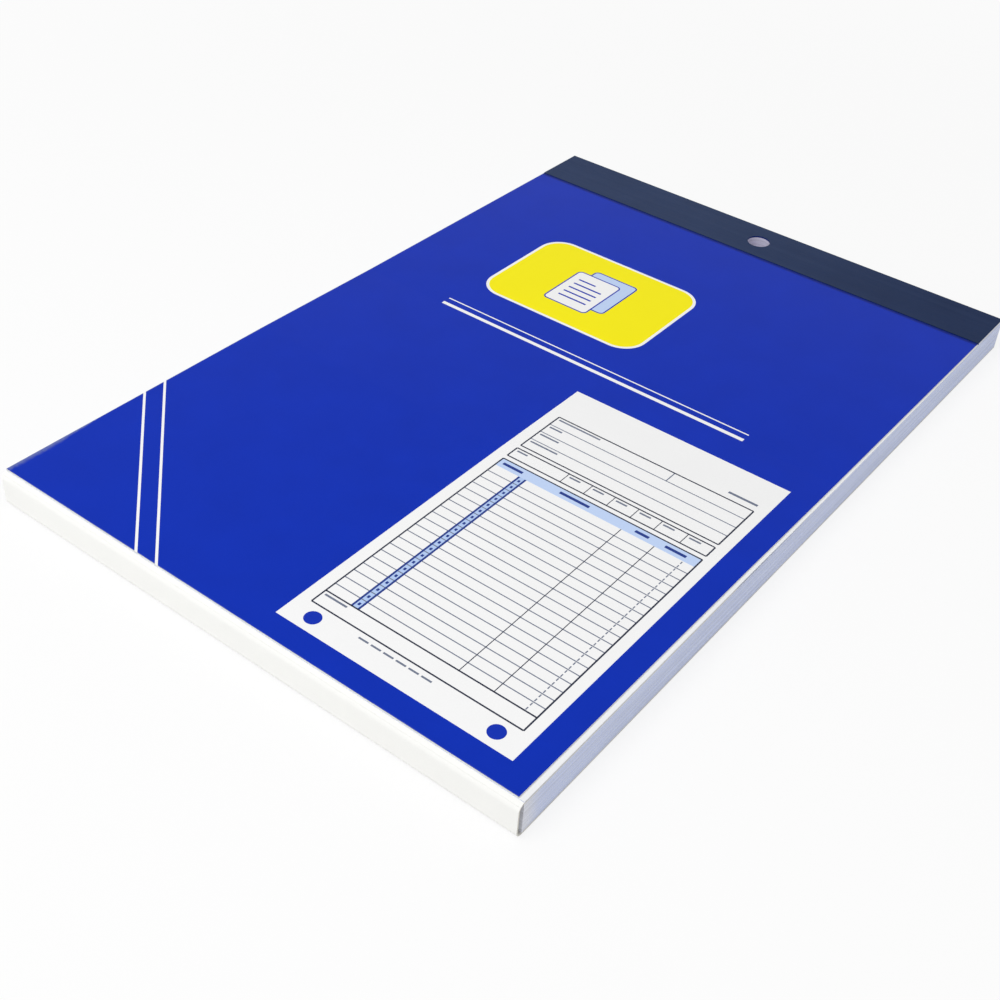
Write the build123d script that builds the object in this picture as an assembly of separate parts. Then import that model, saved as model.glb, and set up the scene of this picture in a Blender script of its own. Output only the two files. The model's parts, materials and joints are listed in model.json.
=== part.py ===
from build123d import *
import math
import os

# Top-bound duplicate receipt book: fifty two-part sets, taped head, wraparound card at the foot

# Book, in millimetres
book_width = 141.3
book_length = 214.3
set_count = 50
sheet_thickness = 0.08
cover_card = 0.30
wrap_card = 0.40

# Binding at the head
tape_thickness = 0.15
tape_front_width = 16.0
tape_back_width = 16.0
perforation_inset = 20.3
perforation_pitch = 1.5
perforation_slit = 1.0
perforation_depth = 0.15
hang_hole_diameter = 6.35
hang_hole_inset = 8.0

# Wire staples under the tape
staple_wire = 0.5
staple_crown = 12.0
staple_clinch = 4.0
staple_bend_radius = 0.6
staple_offset = 45.0
staple_inset = 8.0

# Front cover, cut a little askew along its right edge
cover_trim_head = 0.2
cover_trim_foot = 1.3

# Wraparound card, with the same rounded fold at the top and the bottom of the foot
fold_radius = 1.55
flap_length = 80.0
flap_corner_radius = 6.0
flap_ramp = 40.0

# Clearances
air_gap = 0.02
crease_gap = 0.05
fold_gap = 0.02
staple_clearance = 0.05
cut_margin = 1.0

# Places along the book: the head is at +Y, the middle of the overall length at Y = 0
overall_length = book_length + fold_radius + tape_thickness
head_y = overall_length / 2 - tape_thickness
foot_y = head_y - book_length
wrap_y = foot_y - fold_radius
tape_front_y = head_y - tape_front_width
tape_back_y = head_y - tape_back_width
perforation_y = head_y - perforation_inset
flap_end_y = wrap_y + flap_length
ramp_start_y = flap_end_y + flap_ramp

# Levels through the stack, from the table up
back_top = wrap_card
set_thickness = 2 * sheet_thickness
set_top = back_top + (set_count - 1) * set_thickness
flap_bottom = set_top + air_gap
flap_top = flap_bottom + wrap_card
duplicate_z = set_top + air_gap
original_z = duplicate_z + sheet_thickness + air_gap
stub_top = original_z + sheet_thickness
cover_z = stub_top + air_gap
cover_stub_top = cover_z + cover_card
tape_top = cover_stub_top + tape_thickness
flap_lift = wrap_card + air_gap

# Folds of the wraparound card: inside, centres, and creases half way round in degrees above +Y
inner_radius = fold_radius - wrap_card
fold_gap_angle = math.degrees(fold_gap / fold_radius)
upper_fold_z = flap_top - fold_radius
lower_fold_z = fold_radius
upper_crease = 135
lower_crease = 225


def across(outline):
    """Solid across the full width from a closed outline drawn along the book (Y) and up (Z)."""
    return extrude(Plane.YZ * make_face(outline), amount=book_width / 2, both=True)


def plank(y_from, y_to, z_from, z_to):
    """Flat piece across the full width."""
    centre = Pos(0, (y_from + y_to) / 2, (z_from + z_to) / 2)
    return centre * Box(book_width, y_to - y_from, z_to - z_from)


def laid_over_flap(y_head, z, thickness):
    """Sheet that lies flat below the head and steps up over the tucked flap towards the foot."""
    under = [
        (y_head, z),
        (ramp_start_y, z),
        (flap_end_y, z + flap_lift),
        (foot_y, z + flap_lift),
    ]
    over = [(y, height + thickness) for y, height in reversed(under)]
    return across(Polyline(*under, *over, close=True))


def hang_hole():
    """Cylinder that punches the hole through the whole bound head."""
    height = tape_top + 2 * cut_margin
    return Pos(0, head_y - hang_hole_inset, tape_top / 2) * Cylinder(hang_hole_diameter / 2, height)


def staple_wires(thickness):
    """Pair of clinched staples of square wire, crowns parallel to the head, left and right of the hole."""
    half = staple_crown / 2
    high = cover_stub_top - staple_clearance - staple_wire / 2
    low = tape_thickness + staple_clearance + staple_wire / 2
    grown = (thickness - staple_wire) / 2
    tip = half - staple_clinch - grown
    corners = [(-tip, low), (-half, low), (-half, high), (half, high), (half, low), (tip, low)]
    path = Plane.XZ * FilletPolyline(*corners, radius=staple_bend_radius)
    start = Plane(origin=path @ 0, x_dir=(0, 1, 0), z_dir=path % 0)
    wire = sweep(start * Rectangle(thickness, thickness), path=path)
    row_y = head_y - staple_inset
    return [Pos(side * staple_offset, row_y, 0) * wire for side in (-1, 1)]


def staple_channels():
    """Room that the staples take in the pieces they hold together."""
    return staple_wires(staple_wire + 2 * staple_clearance)


def perforated(leaf, z):
    """Leaf with the row of slits along its torn edge, the paper ties left between them."""
    slit_count = int(book_width / perforation_pitch)
    first_x = -(slit_count - 1) * perforation_pitch / 2
    slit = Box(perforation_slit, 2 * perforation_depth, 4 * sheet_thickness)
    row = [
        Pos(first_x + index * perforation_pitch, perforation_y - crease_gap, z) * slit
        for index in range(slit_count)
    ]
    return leaf - row


def fold_point(centre_z, radius, angle):
    """Point on a rounded fold at the foot, by its angle above the +Y direction."""
    turn = math.radians(angle)
    return (foot_y + radius * math.cos(turn), centre_z + radius * math.sin(turn))


def fold_arc(centre_z, radius, start, end):
    """Arc of a rounded fold, from one angle to another."""
    angles = (start, (start + end) / 2, end)
    return ThreePointArc(*(fold_point(centre_z, radius, angle) for angle in angles))


def fold_end(centre_z, angle):
    """Line across the card at one end of a fold, from its inside to its outside."""
    return Line(fold_point(centre_z, inner_radius, angle), fold_point(centre_z, fold_radius, angle))


def back_cover():
    """Card under the block, pressed thinner where the tape laps under it, with half of the lower fold."""
    start = lower_crease + fold_gap_angle
    edges = [
        fold_end(lower_fold_z, start),
        fold_arc(lower_fold_z, fold_radius, start, 270),
        Line((foot_y, 0), (tape_back_y, 0)),
        Line((tape_back_y, 0), (tape_back_y, tape_thickness)),
        Line((tape_back_y, tape_thickness), (head_y, tape_thickness)),
        Line((head_y, tape_thickness), (head_y, wrap_card)),
        Line((head_y, wrap_card), (foot_y, wrap_card)),
        fold_arc(lower_fold_z, inner_radius, 270, start),
    ]
    return across(edges) - hang_hole() - staple_channels()


def foot_panel():
    """Card that stands at the foot, from half way round the lower fold to half way round the upper one."""
    edges = [
        fold_end(lower_fold_z, lower_crease),
        fold_arc(lower_fold_z, fold_radius, lower_crease, 180),
        Line((wrap_y, lower_fold_z), (wrap_y, upper_fold_z)),
        fold_arc(upper_fold_z, fold_radius, 180, upper_crease),
        fold_end(upper_fold_z, upper_crease),
        fold_arc(upper_fold_z, inner_radius, upper_crease, 180),
        Line((wrap_y + wrap_card, upper_fold_z), (wrap_y + wrap_card, lower_fold_z)),
        fold_arc(lower_fold_z, inner_radius, 180, lower_crease),
    ]
    return across(edges)


def tuck_flap():
    """Rest of the upper fold and the flap tucked under the first set, its free corners rounded."""
    start = upper_crease - fold_gap_angle
    edges = [
        fold_end(upper_fold_z, start),
        fold_arc(upper_fold_z, fold_radius, start, 90),
        Line((foot_y, flap_top), (flap_end_y, flap_top)),
        Line((flap_end_y, flap_top), (flap_end_y, flap_bottom)),
        Line((flap_end_y, flap_bottom), (foot_y, flap_bottom)),
        fold_arc(upper_fold_z, inner_radius, 90, start),
    ]
    flap = across(edges)
    corners = flap.edges().filter_by(Axis.Z).group_by(Axis.Y)[-1]
    return fillet(corners, flap_corner_radius)


def front_cover():
    """Printed card from the tape edge to the foot, trimmed along its right edge."""
    hinge_y = tape_front_y - crease_gap
    card = laid_over_flap(hinge_y, cover_z, cover_card)
    right = book_width / 2
    trim = make_face(
        Polyline(
            (right - cover_trim_head, hinge_y + cut_margin),
            (right + cut_margin, hinge_y + cut_margin),
            (right + cut_margin, foot_y - cut_margin),
            (right - cover_trim_foot, foot_y - cut_margin),
            close=True,
        )
    )
    return card - extrude(trim, amount=tape_top + wrap_card + cut_margin)


def cover_stub():
    """End of the front cover that is bound in under the tape."""
    return plank(tape_front_y, head_y, cover_z, cover_stub_top) - hang_hole() - staple_channels()


def stub_block():
    """Bound ends of all the sheets, from the perforation to the head."""
    return plank(perforation_y, head_y, back_top, stub_top) - hang_hole() - staple_channels()


def binding_tape():
    """Tape over the front of the head, down the spine and under the back."""
    outline = Polyline(
        (tape_front_y, cover_stub_top),
        (head_y, cover_stub_top),
        (head_y, tape_thickness),
        (tape_back_y, tape_thickness),
        (tape_back_y, 0),
        (head_y + tape_thickness, 0),
        (head_y + tape_thickness, tape_top),
        (tape_front_y, tape_top),
        close=True,
    )
    return across(outline) - hang_hole()


def leaf_01(z):
    """Sheet of the first set, lying over the tucked flap."""
    return perforated(laid_over_flap(perforation_y - crease_gap, z, sheet_thickness), z)


def sheet_set(number):
    """Original and duplicate sheet of one set, the last set lowest in the block."""
    bottom = back_top + (set_count - number) * set_thickness
    levels = (bottom + sheet_thickness, bottom)
    return [plank(foot_y, perforation_y, z, z + sheet_thickness) for z in levels]


def write(name, shape):
    """Put one piece, or one group of pieces, in its own file."""
    group = shape if isinstance(shape, list) else [shape]
    solids = [solid for piece in group for solid in piece.solids()]
    export_step(Compound(children=solids) if len(solids) > 1 else solids[0], f"parts/{name}.step")


os.makedirs("parts", exist_ok=True)
write("front_cover", front_cover())
write("cover_stub", cover_stub())
write("binding_tape", binding_tape())
write("stub_block", stub_block())
write("staples", staple_wires(staple_wire))
write("back_cover", back_cover())
write("foot_panel", foot_panel())
write("tuck_flap", tuck_flap())
write("original_leaf_01", leaf_01(original_z))
write("duplicate_leaf_01", leaf_01(duplicate_z))
for number in range(2, set_count + 1):
    write(f"set_{number:02d}", sheet_set(number))

print("overall length", overall_length)
print("cover hinge", (0, tape_front_y, tape_top))
print("leaf hinge", (0, perforation_y, stub_top))
print("foot crease", (0, *fold_point(lower_fold_z, fold_radius, lower_crease)))
print("flap crease", (0, *fold_point(upper_fold_z, fold_radius, upper_crease)))
print("hang hole", (0, head_y - hang_hole_inset, tape_top))
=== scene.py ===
"""Looks of the duplicate receipt book: printed cover, taped head, sheet edges and white wraparound card."""

import json
import math

import bmesh
import bpy
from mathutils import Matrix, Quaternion, Vector


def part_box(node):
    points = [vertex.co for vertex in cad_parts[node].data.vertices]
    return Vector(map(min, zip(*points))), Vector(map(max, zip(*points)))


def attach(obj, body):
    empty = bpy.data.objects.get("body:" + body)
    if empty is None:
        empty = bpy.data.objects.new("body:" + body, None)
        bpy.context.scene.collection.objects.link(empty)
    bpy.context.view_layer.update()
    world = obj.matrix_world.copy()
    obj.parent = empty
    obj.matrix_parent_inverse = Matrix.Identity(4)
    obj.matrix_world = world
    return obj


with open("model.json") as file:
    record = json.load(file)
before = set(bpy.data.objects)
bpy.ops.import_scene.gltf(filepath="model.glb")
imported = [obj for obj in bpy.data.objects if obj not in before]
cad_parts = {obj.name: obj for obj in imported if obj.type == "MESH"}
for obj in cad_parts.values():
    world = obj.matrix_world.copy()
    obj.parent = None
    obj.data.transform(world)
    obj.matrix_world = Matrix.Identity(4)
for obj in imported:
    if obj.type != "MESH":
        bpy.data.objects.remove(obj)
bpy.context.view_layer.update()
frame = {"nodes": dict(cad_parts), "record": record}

# Lengths are in millimetres, and MM turns them into the scene's metres
MM = 0.001

# Camera, as in the photograph: where it stands, what it looks at on the cover and its lean in degrees
CAMERA_PLACE = (157.68, -244.59, 207.08)
CAMERA_TARGET = (16.54, -43.33, 9.1)
CAMERA_LEAN = 4.136
FOCAL_PIXELS = 1444.9
IMAGE_PIXELS = 1000
SENSOR_WIDTH = 36.0

# Stage: a pale floor that runs out to white, white surroundings and one soft lamp beyond the foot
FLOOR_SIZE = 8000.0
FLOOR_DROP = 0.02
FLOOR_SHADE = (0.92, 0.92, 0.92, 1.0)
FLOOR_GLOW = 0.80
FLOOR_FADE = (150.0, 700.0)
AMBIENT = 0.57
MIRRORED_RISE = (0.38, 0.52)
MIRRORED_LOW = 0.85
MIRRORED_HIGH = 0.34
LAMP_PLACE = (-120.0, -424.0, 688.0)
LAMP_SIZE = 510.0
LAMP_POWER = 3.18

# Print on the cover: the white panel of the form with its two dots
FORM_WIDTH = 58.7
FORM_HEIGHT = 103.3
FORM_RIGHT_MARGIN = 7.05
FORM_FOOT_MARGIN = 5.8
DOT_DIAMETER = 3.8
DOTS_FROM_LEFT = (6.6, 52.3)
DOTS_FROM_FOOT = 3.6

# Print on the cover: the thick and the thin rule, and the two stripes across the lower left corner
RULE_LENGTH = 91.0
RULE_FROM_HEAD = 95.2
RULE_THICK = 1.1
RULE_THIN = 0.4
RULE_STEP = 2.4
STRIPE_WIDTH = 0.59
STRIPE_CORNERS = ((39.3, 41.6), (45.6, 47.7))

# Print on the cover: the yellow label and its sign of two sheets
LABEL_WIDTH = 48.0
LABEL_HEIGHT = 35.0
LABEL_CORNER = 6.0
LABEL_KEYLINE = 0.8
LABEL_CENTRE_X = -19.5
LABEL_FROM_HEAD = 64.5
SIGN_WIDTH = 13.0
SIGN_HEIGHT = 17.0
SIGN_CORNER = 1.0
SIGN_STEP = (3.6, 2.88)
SIGN_OUTLINE = 0.4
SIGN_LINES = 5
SIGN_LINE_STEP = 2.4
SIGN_LINE_WIDTH = 0.6
SIGN_LINE_REACH = 4.4
SIGN_SHORT_REACH = 1.0

# Ruled form, in shares of its width and height from its lower left corner
FORM_SIDES = (0.052, 0.952)
ADDRESS_BLOCK = (0.7385, 0.885)
ADDRESS_ROWS = 4
ADDRESS_DIVIDER = 0.603
ADDRESS_DASHES = (0.20, 0.06, 0.09, 0.13)
BOX_ROW = (0.6895, 0.726)
BOX_DIVIDERS = (0.302, 0.411, 0.516, 0.622, 0.726, 0.839)
BOX_DASH = 0.05
DASH_INSET = 0.012
DASH_DROP = 0.007
DASH_HEIGHT = 0.005
ITEM_TABLE = (0.108, 0.675)
ITEM_ROWS = 20
HEAD_BAND = 0.645
HEAD_DASHES = ((0.072, 0.165), (0.34, 0.475), (0.68, 0.74), (0.81, 0.9))
HEAD_DASH_MARGIN = 0.011
MARKED_COLUMN = (0.169, 0.199)
COLUMN_MARK_WIDTH = 0.010
COLUMN_MARK_PART = (0.36, 0.64)
PRICE_DIVIDERS = (0.636, 0.78)
CENTS_DIVIDER = 0.903
CENTS_DASHES = 40
CENTS_DASH_PART = (0.2, 0.8)
TOTAL_LINE = 0.068
TOTAL_DASH = 0.10
UPPER_DASH = (0.82, 0.904, 0.947, 0.911)
FOOT_DASHES = 6
FOOT_DASH_SIDES = (0.29, 0.614)
FOOT_DASH_LEVELS = (0.050, 0.0545)
FOOT_DASH_PART = 0.8

# Line widths of the form on the cover and on the sheets, and the weight of its finer and bolder lines
FORM_LINE = 0.38
SHEET_LINE = 0.33
ROW_WEIGHT = 0.72
DIVIDER_WEIGHT = 0.55
CENTS_WEIGHT = 0.72
COLUMN_WEIGHT = 1.3

# Margins round the form on the sheets
SHEET_MARGIN_SIDE = 3.0
SHEET_MARGIN_END = 4.0

# Ink films reach a little into the card or paper that carries them and stand this far above it
FILM_SUNK = 0.004
PANEL_FILM = 0.012
LABEL_FILM = 0.018
DOT_FILM = 0.024
COVER_FORM_FILMS = {"tint": 0.018, "column": 0.018, "rows": 0.021, "rules": 0.024, "marks": 0.024}
SHEET_FORM_FILMS = {"tint": 0.005, "column": 0.005, "rows": 0.008, "rules": 0.011, "marks": 0.011}
SIGN_LINE_FILM = 0.048

# Layers of the sign from the back sheet to the front one: side of the step, ink, outline and film
SIGN_LAYERS = (
    (0.5, "blue", SIGN_OUTLINE, 0.030),
    (0.5, "tint", 0.0, 0.034),
    (-0.5, "blue", SIGN_OUTLINE, 0.040),
    (-0.5, "white", 0.0, 0.044),
)

# Wear of the cover: how far rubbing reaches in from its edges, and the painted shade of the tape's edge
# beside the hinge
RUB_REACH_CORNER = 1.5
RUB_REACH_SIDE = 0.25
RUB_REACH_FOOT = 0.22
RUB_FADE = (10.0, 30.0)
RUB_SHARE = 0.8
RUB_DULLING = 0.25
BARE_DULLING = 0.3
TAPE_EDGE_SHADE_BAND = (0.6, 1.4)
TAPE_EDGE_SHADE_TONE = 0.46
HINGE_END = (0.1, 0.2)
STUB_START = (-0.02, 0.0)

# Texture of the tape, in cycles per millimetre across the book, along it and up
TAPE_CREPE = (0.55, 3.2, 3.2)
TAPE_STREAK = (0.02, 0.5, 0.5)
CREPE_SHARE = 0.6

# Painted light on the tape's left: where it starts to lessen, in half lengths right of the middle, and its
# share before
TAPE_LIT_FROM = -0.4
TAPE_LIT_SHARE = 0.65

# Bare cut ends of the tape and of the bound stub: how deep they reach in from the side, from full to none
CUT_END_DEPTH = (0.01, 0.04)

# Wraparound card: a place within the wrap that its inside looks at, and the painted contact shade low on its
# bend
WRAP_MIDDLE_FROM_FOOT = 60.0
INSIDE_BAND = (0.0, 0.2)
CUT_TURN = (0.6, 0.9)
LOW_SHADE_BAND = (0.6, 1.6)
LOW_SHADE_TONE = 0.88

# Sheet edges: how far painted light lightens them in from the foot, and how far their colour changes round
# the punched hole
FOOT_LIGHT_FADE = (0.3, 6.0)
FOOT_LIGHT_SHARE = 0.55
PUNCHED_RIM = (0.225, 1.225)
JOINT_TONE = 0.82
JOINT_DEPTH = -0.6

# Bands in which the felt of paper and card, and the turn of a face, go from one state to the other
FELT_BAND = (0.3, 0.7)
TURN_BAND = (0.5, 0.7)

# Sockets by which a mix node takes and gives colours
MIX_SHARE = 0
MIX_FIRST = 6
MIX_SECOND = 7
MIX_RESULT = 2

# Sets that stay in the block, from the uppermost to the lowest
SET_NODES = sorted(name for name in frame["nodes"] if name.startswith("set_"))
UPPERMOST_SET = SET_NODES[0]
LOWEST_SET = SET_NODES[-1]


def display_colour(red, green, blue):
    """Scene colour of a display colour given in 0 to 255."""
    def channel(value):
        share = value / 255
        return share / 12.92 if share <= 0.04045 else ((share + 0.055) / 1.055) ** 2.4
    return (channel(red), channel(green), channel(blue), 1.0)


COVER_BLUE = display_colour(8, 48, 180)
COVER_RUBBED = display_colour(120, 132, 178)
CARD_WHITE = display_colour(250, 250, 247)
CARD_CORE = display_colour(228, 228, 224)
CARD_INSIDE = display_colour(234, 232, 226)
CARD_CUT = display_colour(222, 220, 212)
TAPE_NAVY = display_colour(24, 43, 80)
TAPE_PALE_AND_LIT = display_colour(48, 64, 98)
TAPE_CORE = display_colour(214, 217, 224)
PAPER_WHITE = display_colour(244, 245, 247)
PAPER_BLUE = display_colour(196, 208, 238)
EDGE_WHITE = display_colour(234, 240, 255)
EDGE_BLUE = display_colour(204, 215, 255)
EDGE_LIT_AT_FOOT = display_colour(252, 250, 246)
EDGE_PUNCHED = display_colour(222, 219, 238)
STEEL = display_colour(190, 190, 194)
INK_WHITE = display_colour(250, 250, 250)
INK_YELLOW = display_colour(255, 242, 4)
INK_DARK = display_colour(48, 54, 74)
INK_PALE = display_colour(116, 124, 144)
INK_TINT = display_colour(196, 216, 250)
INK_COLUMN = display_colour(182, 206, 246)
INK_MARK = display_colour(38, 62, 142)


def box_mm(node):
    """Lowest and highest corner of a CAD piece at rest."""
    low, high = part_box(node)
    return low / MM, high / MM


# Building shaders


def feed(tree, socket, value):
    """Links a socket to another socket, or sets it to a constant."""
    if isinstance(value, bpy.types.NodeSocket):
        tree.links.new(value, socket)
    else:
        socket.default_value = value


def add_node(tree, kind, inputs=None, **settings):
    """New shader node with its settings and inputs."""
    node = tree.nodes.new(kind)
    for name, value in settings.items():
        setattr(node, name, value)
    for name, value in (inputs or {}).items():
        feed(tree, node.inputs[name], value)
    return node


def maths(tree, operation, *values):
    """Result of a sum, product or other operation on values."""
    node = add_node(tree, "ShaderNodeMath", operation=operation)
    for socket, value in zip(node.inputs, values):
        feed(tree, socket, value)
    return node.outputs[0]


def vector_maths(tree, operation, *vectors):
    """Node that works on one or two vectors."""
    node = add_node(tree, "ShaderNodeVectorMath", operation=operation)
    for socket, vector in zip(node.inputs, vectors):
        feed(tree, socket, vector)
    return node


def scaled(tree, vector, factor):
    """Vector or colour times one factor."""
    node = vector_maths(tree, "SCALE", vector)
    feed(tree, node.inputs["Scale"], factor)
    return node.outputs[0]


def stretched(tree, vector, factors):
    """Vector times a factor of its own in each direction."""
    return vector_maths(tree, "MULTIPLY", vector, factors).outputs[0]


def parts_of(tree, vector):
    """The three parts of a vector."""
    return add_node(tree, "ShaderNodeSeparateXYZ", {"Vector": vector}).outputs


def ramped(tree, value, band, ends=(0.0, 1.0)):
    """Value carried smoothly from one end to the other while the given value crosses a band."""
    inputs = {"Value": value, "From Min": band[0], "From Max": band[1], "To Min": ends[0], "To Max": ends[1]}
    return add_node(tree, "ShaderNodeMapRange", inputs, interpolation_type="SMOOTHSTEP").outputs["Result"]


def mixed(tree, share, first, second):
    """Colour between two colours."""
    node = add_node(tree, "ShaderNodeMix", data_type="RGBA")
    feed(tree, node.inputs[MIX_SHARE], share)
    feed(tree, node.inputs[MIX_FIRST], first)
    feed(tree, node.inputs[MIX_SECOND], second)
    return node.outputs[MIX_RESULT]


def toned(tree, colour, tone):
    """Colour made lighter or darker by a tone around one."""
    return scaled(tree, colour[:3] if isinstance(colour, tuple) else colour, tone)


def mottled(tree, vector, scale=1.0, detail=2.0, roughness=0.5):
    """Soft uneven value over the surface."""
    inputs = {"Vector": vector, "Scale": scale, "Detail": detail, "Roughness": roughness}
    return add_node(tree, "ShaderNodeTexNoise", inputs).outputs["Fac"]


def place_mm(tree):
    """Place on the piece at rest."""
    return scaled(tree, add_node(tree, "ShaderNodeTexCoord").outputs["Object"], 1 / MM)


def face_turn(tree):
    """How far a face looks across the book, along it and up, on the piece at rest."""
    return parts_of(tree, add_node(tree, "ShaderNodeTexCoord").outputs["Normal"])


# Effects that the finishes place with values of their own


def new_effect(name, inputs, outputs):
    """Empty shader group with named values going in and out."""
    tree = bpy.data.node_groups.new(name, "ShaderNodeTree")
    for label, value in inputs.items():
        socket = tree.interface.new_socket(label, in_out="INPUT", socket_type="NodeSocketFloat")
        socket.default_value = value
    for label in outputs:
        tree.interface.new_socket(label, in_out="OUTPUT", socket_type="NodeSocketFloat")
    return tree, tree.nodes.new("NodeGroupInput").outputs, tree.nodes.new("NodeGroupOutput").inputs


def place_effect(tree, effect, **inputs):
    """Places an effect in a finish and gives what it puts out."""
    node = add_node(tree, "ShaderNodeGroup", node_tree=effect)
    for label, value in inputs.items():
        feed(tree, node.inputs[label], value)
    return node.outputs


def make_fibre():
    """Cloudy tone and fine felted height of paper and card."""
    tree, given, out = new_effect("paper_fibre", {"Cloud": 0.04, "Grain": 0.04}, ("Tone", "Height"))
    place = place_mm(tree)
    cloud = maths(tree, "SUBTRACT", mottled(tree, place, scale=0.09, detail=3.0), 0.5)
    felt = mottled(tree, place, scale=3.2, detail=4.0, roughness=0.62)
    grain = maths(tree, "SUBTRACT", felt, 0.5)
    cloudy = maths(tree, "MULTIPLY_ADD", cloud, given["Cloud"], 1.0)
    feed(tree, out["Tone"], maths(tree, "MULTIPLY_ADD", grain, given["Grain"], cloudy))
    feed(tree, out["Height"], felt)
    return tree


def make_rub():
    """Where handling has rubbed a border, from the distance to it and how far the rubbing reaches."""
    tree, given, out = new_effect("rubbed_border", {"Distance": 1.0, "Reach": 0.3}, ("Mask",))
    place = place_mm(tree)
    uneven = ramped(tree, mottled(tree, place, scale=0.22, detail=4.0, roughness=0.6), FELT_BAND, (0.7, 1.3))
    share = maths(tree, "DIVIDE", given["Distance"], maths(tree, "MULTIPLY", given["Reach"], uneven))
    patchy = mottled(tree, place, scale=1.6, detail=3.0, roughness=0.6)
    worn = ramped(tree, patchy, band=(0.3, 0.65), ends=(0.65, 1.0))
    near = ramped(tree, share, band=(0.1, 1.0), ends=(1.0, 0.0))
    feed(tree, out["Mask"], maths(tree, "MULTIPLY", near, worn))
    return tree


def make_stack():
    """Sheets lying on each other, seen on their edges: which sheet of the set, its joint and its tone."""
    inputs = {"Sheet": 0.08, "Bottom": 0.4}
    tree, given, out = new_effect("sheet_stack", inputs, ("Duplicate", "Joint", "Tone"))
    place = place_mm(tree)
    x, y, z = parts_of(tree, place)
    level = maths(tree, "DIVIDE", maths(tree, "SUBTRACT", z, given["Bottom"]), given["Sheet"])
    number = maths(tree, "FLOOR", level)
    from_middle = maths(tree, "ABSOLUTE", maths(tree, "SUBTRACT", maths(tree, "FRACT", level), 0.5))
    original = maths(tree, "MODULO", number, 2.0)
    feed(tree, out["Duplicate"], maths(tree, "SUBTRACT", 1.0, original))
    feed(tree, out["Joint"], ramped(tree, from_middle, band=(0.34, 0.5)))
    sheet_place = add_node(tree, "ShaderNodeCombineXYZ", {"X": x, "Y": y, "Z": number}).outputs[0]
    drift = mottled(tree, stretched(tree, sheet_place, (0.03, 0.03, 3.7)))
    bundles = mottled(tree, stretched(tree, place, (0.012, 0.012, 1.9)), detail=3.0)
    sheet_tone = ramped(tree, drift, band=(0.2, 0.8), ends=(0.88, 1.08))
    bundle_tone = ramped(tree, bundles, FELT_BAND, (0.9, 1.06))
    feed(tree, out["Tone"], maths(tree, "MULTIPLY", sheet_tone, bundle_tone))
    return tree


def make_upper_face():
    """One on faces that look up on the piece at rest, zero on its edges and underside."""
    start, full = TURN_BAND
    tree, given, out = new_effect("upper_face", {"Start": start, "Full": full}, ("Mask",))
    feed(tree, out["Mask"], ramped(tree, face_turn(tree)[2], (given["Start"], given["Full"])))
    return tree


def make_cut_end():
    """One on the two cut ends of a piece that runs across the book, with Side as half of its width."""
    tree, given, out = new_effect("cut_end", {"Side": 70.0}, ("Mask",))
    from_middle = maths(tree, "ABSOLUTE", parts_of(tree, place_mm(tree))[0])
    depth = maths(tree, "SUBTRACT", given["Side"], from_middle)
    feed(tree, out["Mask"], ramped(tree, depth, CUT_END_DEPTH, (1.0, 0.0)))
    return tree


FIBRE = make_fibre()
RUB = make_rub()
STACK = make_stack()
UPPER_FACE = make_upper_face()
CUT_END = make_cut_end()


# Finishes


def new_finish(name, specular):
    """Material with its shader, ready for its colour and surface."""
    material = bpy.data.materials.new(name)
    material.use_nodes = True
    tree = material.node_tree
    shader = tree.nodes["Principled BSDF"]
    shader.inputs["Specular IOR Level"].default_value = specular
    return material, tree, shader


def felted(tree, felt, ends):
    """Value that follows the felted height of the surface."""
    return ramped(tree, felt, FELT_BAND, ends)


def raise_surface(tree, shader, height, strength, depth):
    """Fine relief on the surface."""
    bump = add_node(tree, "ShaderNodeBump", {"Height": height})
    bump.inputs["Strength"].default_value = strength
    bump.inputs["Distance"].default_value = depth * MM
    tree.links.new(bump.outputs["Normal"], shader.inputs["Normal"])


def inked_faces(tree, from_hinge):
    """One where the cover is blue: its upper face, its end at the hinge and its stub up to the cut ends."""
    upper = place_effect(tree, UPPER_FACE)["Mask"]
    end_turn = ramped(tree, maths(tree, "ABSOLUTE", face_turn(tree)[1]), TURN_BAND)
    hinge_end = maths(tree, "MULTIPLY", end_turn, ramped(tree, from_hinge, HINGE_END, (1.0, 0.0)))
    cut = place_effect(tree, CUT_END, Side=box_mm("cover_stub")[1].x)["Mask"]
    uncut = maths(tree, "SUBTRACT", 1.0, cut)
    stub = maths(tree, "MULTIPLY", uncut, ramped(tree, from_hinge, STUB_START, (1.0, 0.0)))
    return maths(tree, "MAXIMUM", upper, maths(tree, "MAXIMUM", hinge_end, stub))


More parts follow.
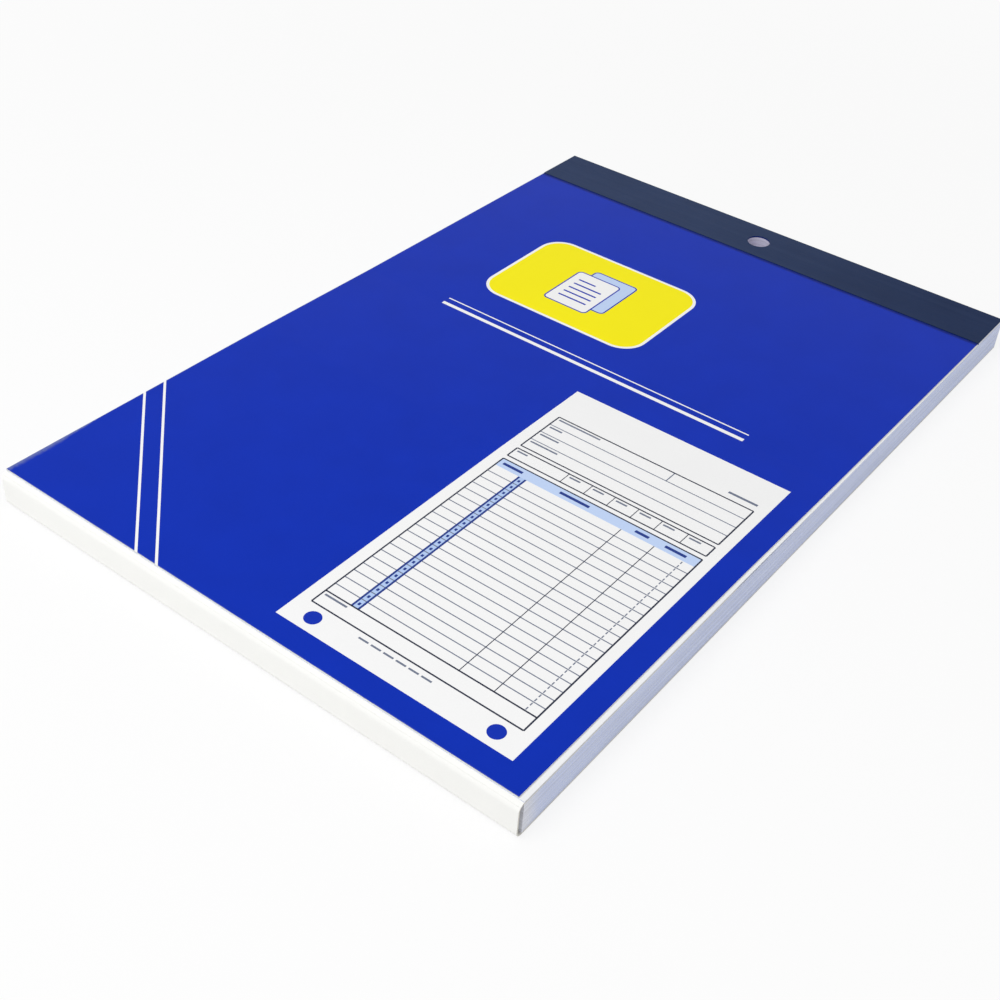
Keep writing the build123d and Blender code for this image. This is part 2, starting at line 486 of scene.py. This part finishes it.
def cover_finish():
    """Coated blue print on the upper face, with painted shade beside the hinge, bare card on the edges and
    inside.
    """
    material, tree, shader = new_finish("printed_blue_card", specular=0.10)
    low, high = box_mm("front_cover")
    x, y, _ = parts_of(tree, place_mm(tree))
    from_left = maths(tree, "SUBTRACT", x, low.x)
    from_foot = maths(tree, "SUBTRACT", y, low.y)
    from_hinge = maths(tree, "SUBTRACT", high.y, y)
    left_reach = ramped(tree, from_foot, RUB_FADE, (RUB_REACH_CORNER, RUB_REACH_SIDE))
    rubbed_left = place_effect(tree, RUB, Distance=from_left, Reach=left_reach)["Mask"]
    rubbed_foot = place_effect(tree, RUB, Distance=from_foot, Reach=RUB_REACH_FOOT)["Mask"]
    rubbed = maths(tree, "MAXIMUM", rubbed_left, rubbed_foot)
    fibre = place_effect(tree, FIBRE, Cloud=0.16, Grain=0.10)
    # Painted shade: the blue is darker in a narrow band beside the hinge, where the tape's edge shades the
    # cover
    tape_edge_shade = ramped(tree, from_hinge, TAPE_EDGE_SHADE_BAND, (TAPE_EDGE_SHADE_TONE, 1.0))
    blue = toned(tree, COVER_BLUE, maths(tree, "MULTIPLY", fibre["Tone"], tape_edge_shade))
    printed = mixed(tree, maths(tree, "MULTIPLY", rubbed, RUB_SHARE), blue, COVER_RUBBED)
    bare = toned(tree, CARD_CORE, fibre["Tone"])
    inked = inked_faces(tree, from_hinge)
    tree.links.new(mixed(tree, inked, bare, printed), shader.inputs["Base Color"])
    coated = felted(tree, fibre["Height"], (0.28, 0.36))
    worn = maths(tree, "MULTIPLY_ADD", rubbed, RUB_DULLING, coated)
    uncoated = maths(tree, "MULTIPLY", maths(tree, "SUBTRACT", 1.0, inked), BARE_DULLING)
    tree.links.new(maths(tree, "ADD", worn, uncoated), shader.inputs["Roughness"])
    raise_surface(tree, shader, fibre["Height"], strength=0.10, depth=0.02)
    return material


def tape_finish():
    """Dark paper tape, lighter to the left with painted light: fine crosswise crepe, faint streaks and pale
    cut ends.
    """
    material, tree, shader = new_finish("navy_binding_tape", specular=0.08)
    right = box_mm("binding_tape")[1].x
    place = place_mm(tree)
    crepe = mottled(tree, stretched(tree, place, TAPE_CREPE), detail=4.0, roughness=0.6)
    streak = mottled(tree, stretched(tree, place, TAPE_STREAK), detail=3.0)
    fibre = place_effect(tree, FIBRE, Cloud=0.22, Grain=0.16)
    streaked = maths(tree, "MULTIPLY", streak, 1.0 - CREPE_SHARE)
    texture = felted(tree, maths(tree, "MULTIPLY_ADD", crepe, CREPE_SHARE, streaked), (0.0, 1.0))
    # Painted light: the tape is made paler towards its left end; the same pale colour also marks the crepe
    # and streaks
    lit_left = ramped(tree, parts_of(tree, place)[0], (TAPE_LIT_FROM * right, right), (TAPE_LIT_SHARE, 0.0))
    pale_and_lit = maths(tree, "MULTIPLY_ADD", texture, 1.0 - TAPE_LIT_SHARE, lit_left)
    navy = toned(tree, mixed(tree, pale_and_lit, TAPE_NAVY, TAPE_PALE_AND_LIT), fibre["Tone"])
    cut = place_effect(tree, CUT_END, Side=right)["Mask"]
    tree.links.new(mixed(tree, cut, navy, TAPE_CORE), shader.inputs["Base Color"])
    tree.links.new(felted(tree, crepe, (0.42, 0.58)), shader.inputs["Roughness"])
    raise_surface(tree, shader, crepe, strength=0.35, depth=0.05)
    return material


def card_finish():
    """White card wrapped round the foot: smooth outside with painted contact shade near the floor, duller
    within and on its cut edges.
    """
    material, tree, shader = new_finish("white_wrap_card", specular=0.08)
    place = place_mm(tree)
    _, y, z = parts_of(tree, place)
    turn_x, turn_y, turn_z = face_turn(tree)
    middle_y = box_mm("foot_panel")[0].y + WRAP_MIDDLE_FROM_FOOT
    middle_z = box_mm("tuck_flap")[1].z / 2
    inward_y = maths(tree, "MULTIPLY", turn_y, maths(tree, "SUBTRACT", middle_y, y))
    inward_z = maths(tree, "MULTIPLY", turn_z, maths(tree, "SUBTRACT", middle_z, z))
    inside = ramped(tree, maths(tree, "ADD", inward_y, inward_z), INSIDE_BAND)
    cut = ramped(tree, maths(tree, "ABSOLUTE", turn_x), CUT_TURN)
    fibre = place_effect(tree, FIBRE, Cloud=0.03, Grain=0.05)
    flecks = mottled(tree, place, scale=1.7, detail=5.0, roughness=0.7)
    flecked = ramped(tree, flecks, band=(0.35, 0.62), ends=(0.92, 1.02))
    # Painted shade: the card darkens towards the floor, standing in for the contact shadow under its lower
    # bend
    low_shade = ramped(tree, z, LOW_SHADE_BAND, (LOW_SHADE_TONE, 1.0))
    outside = toned(tree, CARD_WHITE, maths(tree, "MULTIPLY", fibre["Tone"], low_shade))
    dull = mixed(tree, cut, toned(tree, CARD_INSIDE, flecked), toned(tree, CARD_CUT, flecked))
    uncoated = maths(tree, "MAXIMUM", inside, cut)
    tree.links.new(mixed(tree, uncoated, outside, dull), shader.inputs["Base Color"])
    tree.links.new(felted(tree, fibre["Height"], (0.48, 0.62)), shader.inputs["Roughness"])
    raise_surface(tree, shader, fibre["Height"], strength=0.15, depth=0.03)
    return material


def punched_rim(tree, place):
    """One on the wall of the hang hole, fading out in the paper round it."""
    hole = next(mount for mount in frame["record"]["mounts"] if mount["name"] == "hang_hole")
    axis = Vector(hole["pos_m"]) / MM
    flat = stretched(tree, place, (1.0, 1.0, 0.0))
    from_axis = vector_maths(tree, "DISTANCE", flat, (axis.x, axis.y, 0.0)).outputs["Value"]
    from_wall = maths(tree, "SUBTRACT", from_axis, hole["dims"]["r_mm"])
    return ramped(tree, from_wall, PUNCHED_RIM, (1.0, 0.0))


def sheet_finish():
    """Block of sheets: white originals and pale blue duplicates, each seen as a line on the cut edges."""
    material, tree, shader = new_finish("sheet_block", specular=0.2)
    low, high = box_mm(LOWEST_SET)
    place = place_mm(tree)
    stack = place_effect(tree, STACK, Sheet=(high.z - low.z) / 2, Bottom=low.z)
    fibre = place_effect(tree, FIBRE, Cloud=0.05, Grain=0.06)
    from_foot = maths(tree, "SUBTRACT", parts_of(tree, place)[1], low.y)
    edge = mixed(tree, stack["Duplicate"], EDGE_WHITE, EDGE_BLUE)
    # Painted light: the edges turn nearly white towards the foot, lifting the shade in the slot inside the
    # wrap
    edge = mixed(tree, ramped(tree, from_foot, FOOT_LIGHT_FADE, (FOOT_LIGHT_SHARE, 0.0)), edge, EDGE_LIT_AT_FOOT)
    edge = mixed(tree, punched_rim(tree, place), edge, EDGE_PUNCHED)
    jointed = ramped(tree, stack["Joint"], (0.0, 1.0), (1.0, JOINT_TONE))
    edge = toned(tree, edge, maths(tree, "MULTIPLY", stack["Tone"], jointed))
    top = toned(tree, PAPER_WHITE, fibre["Tone"])
    upper = place_effect(tree, UPPER_FACE)["Mask"]
    tree.links.new(mixed(tree, upper, edge, top), shader.inputs["Base Color"])
    tree.links.new(felted(tree, fibre["Height"], (0.62, 0.78)), shader.inputs["Roughness"])
    height = maths(tree, "MULTIPLY_ADD", stack["Joint"], JOINT_DEPTH, fibre["Height"])
    raise_surface(tree, shader, height, strength=0.3, depth=0.03)
    return material


def paper_finish(name, colour):
    """Loose sheet of uncoated paper."""
    material, tree, shader = new_finish(name, specular=0.2)
    fibre = place_effect(tree, FIBRE, Cloud=0.04, Grain=0.06)
    tree.links.new(toned(tree, colour, fibre["Tone"]), shader.inputs["Base Color"])
    tree.links.new(felted(tree, fibre["Height"], (0.6, 0.75)), shader.inputs["Roughness"])
    raise_surface(tree, shader, fibre["Height"], strength=0.2, depth=0.02)
    return material


def wire_finish():
    """Drawn steel wire of the staples."""
    material, tree, shader = new_finish("staple_steel", specular=0.5)
    fibre = place_effect(tree, FIBRE, Cloud=0.1, Grain=0.2)
    shader.inputs["Metallic"].default_value = 1.0
    tree.links.new(toned(tree, STEEL, fibre["Tone"]), shader.inputs["Base Color"])
    tree.links.new(felted(tree, fibre["Height"], (0.28, 0.42)), shader.inputs["Roughness"])
    return material


def ink_finish(name, colour, roughness, specular=0.16):
    """Printing ink: a flat colour broken by the grain of the card."""
    material, tree, shader = new_finish(name, specular)
    fibre = place_effect(tree, FIBRE, Cloud=0.03, Grain=0.05)
    tree.links.new(toned(tree, colour, fibre["Tone"]), shader.inputs["Base Color"])
    uneven = felted(tree, fibre["Height"], (roughness - 0.04, roughness + 0.06))
    tree.links.new(uneven, shader.inputs["Roughness"])
    raise_surface(tree, shader, fibre["Height"], strength=0.10, depth=0.02)
    return material


INKS = {
    "white": ink_finish("white_ink", INK_WHITE, roughness=0.36, specular=0.25),
    "yellow": ink_finish("yellow_ink", INK_YELLOW, roughness=0.36, specular=0.10),
    "blue": ink_finish("dot_ink", COVER_BLUE, roughness=0.36),
    "rules": ink_finish("form_rule_ink", INK_DARK, roughness=0.45),
    "rows": ink_finish("form_row_ink", INK_PALE, roughness=0.45),
    "tint": ink_finish("form_tint_ink", INK_TINT, roughness=0.42),
    "column": ink_finish("form_column_ink", INK_COLUMN, roughness=0.42),
    "marks": ink_finish("form_mark_ink", INK_MARK, roughness=0.42),
}


# Dressing the CAD pieces


def dress(material, *nodes):
    """Gives CAD pieces their finish."""
    for name in nodes:
        mesh = frame["nodes"][name].data
        mesh.materials.clear()
        mesh.materials.append(material)


def dress_pieces():
    """Every CAD piece in its own finish."""
    dress(cover_finish(), "front_cover", "cover_stub")
    dress(tape_finish(), "binding_tape")
    dress(card_finish(), "back_cover", "foot_panel", "tuck_flap")
    dress(sheet_finish(), "stub_block", *SET_NODES)
    dress(paper_finish("original_paper", PAPER_WHITE), "original_leaf_01")
    dress(paper_finish("duplicate_paper", PAPER_BLUE), "duplicate_leaf_01")
    dress(wire_finish(), "staples")


# Ink films


def top_profile(node):
    """Heights along the book of a piece's upper face, as (y, z) pairs from the foot up."""
    heights = {}
    for vertex in frame["nodes"][node].data.vertices:
        y = round(vertex.co.y / MM, 3)
        z = vertex.co.z / MM
        heights[y] = max(heights.get(y, z), z)
    return sorted(heights.items())


def height_at(profile, y):
    """Height of an upper face at a place along the book."""
    if y <= profile[0][0]:
        return profile[0][1]
    for (y0, z0), (y1, z1) in zip(profile, profile[1:]):
        if y <= y1:
            return z0 + (z1 - z0) * (y - y0) / (y1 - y0)
    return profile[-1][1]


def add_bar(mesh, profile, x0, y0, x1, y1, film):
    """Closed flat bar of ink that follows the surface along the book."""
    bends = [y for y, _ in profile if y0 < y < y1]
    rings = []
    for y in (y0, *bends, y1):
        low = height_at(profile, y) - FILM_SUNK
        high = height_at(profile, y) + film
        corners = ((x0, low), (x1, low), (x1, high), (x0, high))
        rings.append([mesh.verts.new((x * MM, y * MM, z * MM)) for x, z in corners])
    for near, far in zip(rings, rings[1:]):
        for index in range(len(near)):
            after = (index + 1) % len(near)
            mesh.faces.new((near[index], near[after], far[after], far[index]))
    mesh.faces.new(reversed(rings[0]))
    mesh.faces.new(rings[-1])


def add_plate(mesh, outline, z, film):
    """Closed flat plate of ink from an outline on a level stretch of the surface."""
    low = [mesh.verts.new((x * MM, y * MM, (z - FILM_SUNK) * MM)) for x, y in outline]
    high = [mesh.verts.new((x * MM, y * MM, (z + film) * MM)) for x, y in outline]
    mesh.faces.new(reversed(low))
    mesh.faces.new(high)
    for index in range(len(outline)):
        after = (index + 1) % len(outline)
        mesh.faces.new((low[index], low[after], high[after], high[index]))


def ink_piece(name, mesh, ink, body):
    """Finished ink film as a piece that rides on a body."""
    bmesh.ops.recalc_face_normals(mesh, faces=mesh.faces)
    data = bpy.data.meshes.new(name)
    mesh.to_mesh(data)
    mesh.free()
    data.materials.append(INKS[ink])
    piece = bpy.data.objects.new(name, data)
    bpy.context.scene.collection.objects.link(piece)
    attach(piece, body)


def print_bars(name, ink, areas, profile, film, body, slot):
    """One piece made of ink bars, each given by its left, foot, right and head."""
    mesh = bmesh.new()
    for area in areas:
        add_bar(mesh, profile, *area, film)
    ink_piece(name, mesh, ink, body)


def print_plates(name, ink, outlines, z, film, body, slot):
    """One piece made of level ink plates, each given by its outline."""
    mesh = bmesh.new()
    for outline in outlines:
        add_plate(mesh, outline, z, film)
    ink_piece(name, mesh, ink, body)


def rounded(centre_x, centre_y, width, height, corner, steps=10):
    """Outline of a rectangle with round corners."""
    outline = []
    turns = ((1, 1, 0), (-1, 1, 90), (-1, -1, 180), (1, -1, 270))
    for side_x, side_y, start in turns:
        x = centre_x + side_x * (width / 2 - corner)
        y = centre_y + side_y * (height / 2 - corner)
        for step in range(steps + 1):
            angle = math.radians(start + 90 * step / steps)
            outline.append((x + corner * math.cos(angle), y + corner * math.sin(angle)))
    return outline


def grown(plate, border):
    """Outline of a rounded plate with a border of even width round it."""
    x, y, width, height, corner = plate
    return rounded(x, y, width + 2 * border, height + 2 * border, corner + border)


# The ruled form


class FormArea:
    """Area that carries the ruled form: places on it are shares of its width (u) and height (v)."""

    def __init__(self, left, foot, width, height, line):
        self.left = left
        self.foot = foot
        self.width = width
        self.height = height
        self.line = line

    def box(self, u0, v0, u1, v1):
        """Box between its lower left and upper right corners."""
        x0 = self.left + u0 * self.width
        y0 = self.foot + v0 * self.height
        x1 = self.left + u1 * self.width
        y1 = self.foot + v1 * self.height
        return x0, y0, x1, y1

    def across(self, u0, u1, v, weight=1.0):
        """Rule across the form."""
        x0, y, x1, _ = self.box(u0, v, u1, v)
        half = self.line * weight / 2
        return x0, y - half, x1, y + half

    def down(self, u, v0, v1, weight=1.0):
        """Rule down the form."""
        x, y0, _, y1 = self.box(u, v0, u, v1)
        half = self.line * weight / 2
        return x - half, y0, x + half, y1

    def border(self, low, high):
        """Rules round a part of the form that runs from side to side."""
        left, right = FORM_SIDES
        flat = [self.across(left, right, v) for v in (low, high)]
        upright = [self.down(u, low, high) for u in FORM_SIDES]
        return flat + upright

    def dash(self, side, top, length):
        """Short dash under a line and right of a side."""
        start = side + DASH_INSET
        head = top - DASH_DROP
        return self.box(start, head - DASH_HEIGHT, start + length, head)


def rule_address_block(form, inks):
    """Address block: a border, fine rows, a divider in the upper row and a dash at the start of each row."""
    left, right = FORM_SIDES
    low, high = ADDRESS_BLOCK
    row = (high - low) / ADDRESS_ROWS
    inks["rules"] += form.border(low, high)
    inks["rows"].append(form.down(ADDRESS_DIVIDER, high - row, high, ROW_WEIGHT))
    for number in range(1, ADDRESS_ROWS):
        inks["rows"].append(form.across(left, right, low + number * row, ROW_WEIGHT))
    for number, length in enumerate(ADDRESS_DASHES):
        inks["rows"].append(form.dash(left, high - number * row, length))


def rule_box_row(form, inks):
    """Row of small boxes, each with a dash in its upper left corner."""
    low, high = BOX_ROW
    inks["rules"] += form.border(low, high)
    inks["rules"] += [form.down(u, low, high, DIVIDER_WEIGHT) for u in BOX_DIVIDERS]
    for side in (FORM_SIDES[0], *BOX_DIVIDERS):
        inks["rows"].append(form.dash(side, high, BOX_DASH))


def rule_item_table(form, inks):
    """Table of items: border, fine rows, price columns, dashed cents line and tinted head with dashes."""
    left, right = FORM_SIDES
    low, high = ITEM_TABLE
    row = (HEAD_BAND - low) / ITEM_ROWS
    cents_step = (HEAD_BAND - low) / CENTS_DASHES
    inks["rules"] += form.border(low, high)
    inks["rules"] += [form.down(u, low, HEAD_BAND, DIVIDER_WEIGHT) for u in PRICE_DIVIDERS]
    for number in range(1, ITEM_ROWS):
        inks["rows"].append(form.across(left, right, low + number * row, ROW_WEIGHT))
    for number in range(CENTS_DASHES):
        start, end = (low + (number + part) * cents_step for part in CENTS_DASH_PART)
        inks["rows"].append(form.down(CENTS_DIVIDER, start, end, CENTS_WEIGHT))
    inks["tint"].append(form.box(left, HEAD_BAND, right, high))
    foot = HEAD_BAND + HEAD_DASH_MARGIN
    head = high - HEAD_DASH_MARGIN
    inks["marks"] += [form.box(start, foot, end, head) for start, end in HEAD_DASHES]


def rule_marked_column(form, inks):
    """Tinted column of the table with a bold line on each side and a mark in each row."""
    left, right = MARKED_COLUMN
    low = ITEM_TABLE[0]
    row = (HEAD_BAND - low) / ITEM_ROWS
    inks["column"].append(form.box(left, low, right, HEAD_BAND))
    inks["marks"] += [form.down(u, low, HEAD_BAND, COLUMN_WEIGHT) for u in MARKED_COLUMN]
    start = (left + right - COLUMN_MARK_WIDTH) / 2
    for number in range(ITEM_ROWS):
        foot, head = (low + (number + part) * row for part in COLUMN_MARK_PART)
        inks["marks"].append(form.box(start, foot, start + COLUMN_MARK_WIDTH, head))


def rule_total(form, inks):
    """Box for the total under the table, with a dash in its upper left corner."""
    left, right = FORM_SIDES
    table_foot = ITEM_TABLE[0]
    inks["rules"].append(form.across(left, right, TOTAL_LINE))
    inks["rules"] += [form.down(u, TOTAL_LINE, table_foot) for u in FORM_SIDES]
    inks["rows"].append(form.dash(left, table_foot, TOTAL_DASH))


def rule_loose_dashes(form, inks):
    """Dashes outside the borders: one above the address block and a row of them at the foot."""
    inks["rows"].append(form.box(*UPPER_DASH))
    left, right = FOOT_DASH_SIDES
    low, high = FOOT_DASH_LEVELS
    step = (right - left) / FOOT_DASHES
    for number in range(FOOT_DASHES):
        start = left + number * step
        inks["rows"].append(form.box(start, low, start + step * FOOT_DASH_PART, high))


def print_form(prefix, form, profile, films, body, slot):
    """Ruled form as ink films on a surface, one piece for each ink."""
    inks = {ink: [] for ink in films}
    rule_address_block(form, inks)
    rule_box_row(form, inks)
    rule_item_table(form, inks)
    rule_marked_column(form, inks)
    rule_total(form, inks)
    rule_loose_dashes(form, inks)
    for ink, areas in inks.items():
        print_bars(f"{prefix}_{ink}", ink, areas, profile, films[ink], body, slot)


# Print on the cover and the sheets


def print_form_panel(profile, foot_y, on_cover):
    """White panel with the ruled form and its two dots."""
    left = box_mm("back_cover")[1].x - FORM_RIGHT_MARGIN - FORM_WIDTH
    foot = foot_y + FORM_FOOT_MARGIN
    panel = (left, foot, left + FORM_WIDTH, foot + FORM_HEIGHT)
    print_bars("form_panel", "white", [panel], profile, PANEL_FILM, **on_cover)
    form = FormArea(left, foot, FORM_WIDTH, FORM_HEIGHT, FORM_LINE)
    print_form("form", form, profile, COVER_FORM_FILMS, **on_cover)
    dot_y = foot + DOTS_FROM_FOOT
    dots = [
        rounded(left + from_left, dot_y, DOT_DIAMETER, DOT_DIAMETER, DOT_DIAMETER / 2)
        for from_left in DOTS_FROM_LEFT
    ]
    print_plates("form_dots", "blue", dots, height_at(profile, dot_y), DOT_FILM, **on_cover)


def print_rules(profile, head_y, on_cover):
    """Thick and thin white rule under the label."""
    y = head_y - RULE_FROM_HEAD
    side = RULE_LENGTH / 2
    thick = (-side, y - RULE_THICK / 2, side, y + RULE_THICK / 2)
    thin = (-side, y + RULE_STEP, side, y + RULE_STEP + RULE_THIN)
    print_bars("title_rules", "white", [thick, thin], profile, PANEL_FILM, **on_cover)


def print_stripes(profile, corner, on_cover):
    """Two white stripes across the lower left corner."""
    stripes = []
    for along_side, along_foot in STRIPE_CORNERS:
        length = math.hypot(along_side, along_foot)
        half_rise = STRIPE_WIDTH * length / along_foot / 2
        half_run = STRIPE_WIDTH * length / along_side / 2
        stripes.append([
            (corner.x, corner.y + along_side - half_rise),
            (corner.x + along_foot - half_run, corner.y),
            (corner.x + along_foot + half_run, corner.y),
            (corner.x, corner.y + along_side + half_rise),
        ])
    print_plates("corner_stripes", "white", stripes, height_at(profile, corner.y), PANEL_FILM, **on_cover)


def print_label(profile, centre_y, on_cover):
    """Plain yellow label with a white keyline and a sign of two sheets, one on the other."""
    z = height_at(profile, centre_y)
    plate = (LABEL_CENTRE_X, centre_y, LABEL_WIDTH, LABEL_HEIGHT, LABEL_CORNER)
    print_plates("label_keyline", "white", [grown(plate, LABEL_KEYLINE)], z, PANEL_FILM, **on_cover)
    print_plates("label_plate", "yellow", [rounded(*plate)], z, LABEL_FILM, **on_cover)
    for number, (side, ink, outline, film) in enumerate(SIGN_LAYERS, start=1):
        x = LABEL_CENTRE_X + side * SIGN_STEP[0]
        y = centre_y + side * SIGN_STEP[1]
        sheet = grown((x, y, SIGN_WIDTH, SIGN_HEIGHT, SIGN_CORNER), outline)
        print_plates(f"label_sheet_{number}", ink, [sheet], z, film, **on_cover)
    front_x = LABEL_CENTRE_X - SIGN_STEP[0] / 2
    upper_y = centre_y - SIGN_STEP[1] / 2 + (SIGN_LINES - 1) / 2 * SIGN_LINE_STEP
    lines = []
    for row in range(SIGN_LINES):
        y = upper_y - row * SIGN_LINE_STEP
        reach = SIGN_LINE_REACH if row else SIGN_SHORT_REACH
        half = SIGN_LINE_WIDTH / 2
        lines.append((front_x - SIGN_LINE_REACH, y - half, front_x + reach, y + half))
    print_bars("label_lines", "blue", lines, profile, SIGN_LINE_FILM, **on_cover)


def print_cover():
    """Everything printed on the front cover."""
    corner = box_mm("front_cover")[0]
    head_y = box_mm("cover_stub")[1].y
    profile = top_profile("front_cover")
    on_cover = {"body": "cover", "slot": "cover_blue"}
    print_form_panel(profile, corner.y, on_cover)
    print_rules(profile, head_y, on_cover)
    print_stripes(profile, corner, on_cover)
    print_label(profile, head_y - LABEL_FROM_HEAD, on_cover)


def print_sheets():
    """The ruled form on the sheets that show when the book is opened."""
    sheets = (
        ("original", "original_leaf_01", "original", "paper_white"),
        ("duplicate", "duplicate_leaf_01", "duplicate", "paper_tint"),
        ("next_original", UPPERMOST_SET, "block", "sheet_edges"),
    )
    for prefix, node, body, slot in sheets:
        low, high = box_mm(node)
        left = low.x + SHEET_MARGIN_SIDE
        foot = low.y + SHEET_MARGIN_END
        width = high.x - SHEET_MARGIN_SIDE - left
        height = high.y - SHEET_MARGIN_END - foot
        form = FormArea(left, foot, width, height, SHEET_LINE)
        print_form(prefix, form, top_profile(node), SHEET_FORM_FILMS, body, slot)


# Stage


def make_floor():
    """Pale floor that keeps the shadow and shows white away from the book."""
    bpy.ops.mesh.primitive_plane_add(size=FLOOR_SIZE * MM, location=(0, 0, -FLOOR_DROP * MM))
    floor = bpy.context.object
    floor.name = "floor"
    material, tree, shader = new_finish("pale_floor", specular=0.0)
    shader.inputs["Base Color"].default_value = FLOOR_SHADE
    shader.inputs["Roughness"].default_value = 0.9
    path = add_node(tree, "ShaderNodeLightPath").outputs
    mirrored = maths(tree, "MAXIMUM", path["Is Glossy Ray"], path["Is Transmission Ray"])
    seen = maths(tree, "MAXIMUM", path["Is Camera Ray"], mirrored)
    away = vector_maths(tree, "LENGTH", place_mm(tree)).outputs["Value"]
    glow = ramped(tree, away, FLOOR_FADE, (FLOOR_GLOW, 1.0))
    blend = add_node(tree, "ShaderNodeMixShader")
    white = add_node(tree, "ShaderNodeEmission")
    feed(tree, blend.inputs[0], maths(tree, "MULTIPLY", seen, glow))
    feed(tree, blend.inputs[1], shader.outputs[0])
    feed(tree, blend.inputs[2], white.outputs[0])
    feed(tree, tree.nodes["Material Output"].inputs["Surface"], blend.outputs[0])
    floor.data.materials.append(material)


def make_world():
    """White surroundings, seen at full strength, lighting the book softly and mirrored dimmer from above."""
    world = bpy.data.worlds.new("surroundings")
    bpy.context.scene.world = world
    world.use_nodes = True
    tree = world.node_tree
    background = tree.nodes["Background"]
    background.inputs["Color"].default_value = (1.0, 1.0, 1.0, 1.0)
    path = add_node(tree, "ShaderNodeLightPath").outputs
    seen = maths(tree, "MAXIMUM", path["Is Camera Ray"], path["Is Transmission Ray"])
    upward = parts_of(tree, add_node(tree, "ShaderNodeTexCoord").outputs["Generated"])[2]
    mirrored = ramped(tree, upward, MIRRORED_RISE, (MIRRORED_LOW - AMBIENT, MIRRORED_HIGH - AMBIENT))
    strength = maths(tree, "MULTIPLY_ADD", seen, 1.0 - AMBIENT, AMBIENT)
    strength = maths(tree, "MULTIPLY_ADD", path["Is Glossy Ray"], mirrored, strength)
    tree.links.new(strength, background.inputs["Strength"])


def make_lamp():
    """Square soft lamp that shines on the middle of the book."""
    data = bpy.data.lights.new("key_lamp", "AREA")
    data.size = LAMP_SIZE * MM
    data.energy = LAMP_POWER
    lamp = bpy.data.objects.new("key_lamp", data)
    place = Vector(LAMP_PLACE)
    lamp.location = place * MM
    lamp.rotation_euler = (-place).to_track_quat("-Z", "Y").to_euler()
    bpy.context.scene.collection.objects.link(lamp)


def make_camera():
    """Camera at the photograph's place."""
    data = bpy.data.cameras.new("camera")
    data.sensor_width = SENSOR_WIDTH
    data.lens = FOCAL_PIXELS * SENSOR_WIDTH / IMAGE_PIXELS
    camera = bpy.data.objects.new("camera", data)
    place = Vector(CAMERA_PLACE)
    facing = (Vector(CAMERA_TARGET) - place).to_track_quat("-Z", "Y")
    lean = Quaternion((0, 0, 1), math.radians(CAMERA_LEAN))
    camera.location = place * MM
    camera.rotation_euler = (facing @ lean).to_euler()
    bpy.context.scene.collection.objects.link(camera)
    bpy.context.scene.camera = camera


dress_pieces()
print_cover()
print_sheets()
make_floor()
make_world()
make_lamp()
make_camera()
bpy.context.scene.view_settings.view_transform = "Standard"
